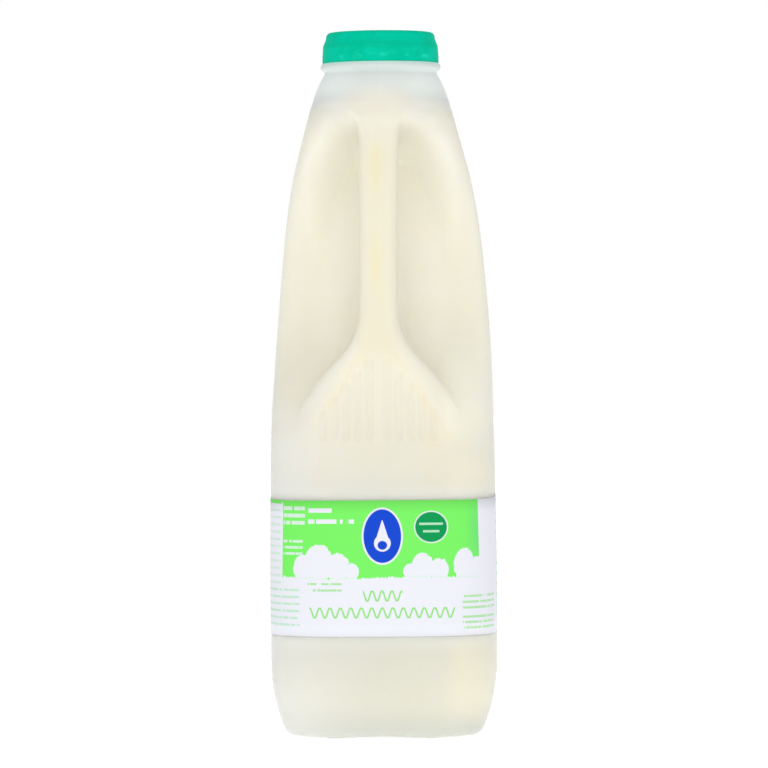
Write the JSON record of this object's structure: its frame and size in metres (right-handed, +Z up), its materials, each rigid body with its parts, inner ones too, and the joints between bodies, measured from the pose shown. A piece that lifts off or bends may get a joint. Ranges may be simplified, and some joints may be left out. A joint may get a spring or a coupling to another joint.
{
  "type": "plastic milk jug",
  "caption": "Square plastic milk bottle with a hollow front handle, closed cap, wrap-round label and milk inside.",
  "frame": {"origin": "middle of the base, on the surface that the bottle stands on", "axes": "+Z up along the bottle's axis, the handle and the label's front face -Y, +X to the right seen from there"},
  "size_m": [0.0804, 0.0804, 0.2492],
  "materials": {
    "hdpe": "frosted, slightly waxy",
    "milk": "creamy liquid",
    "cap_plastic": "satin moulded",
    "label_paper": "smooth printed"
  },
  "bodies": {
    "root": {"bottle": "hdpe", "milk": "milk", "cap": "cap_plastic", "label": "label_paper"}
  },
  "joints": []
}
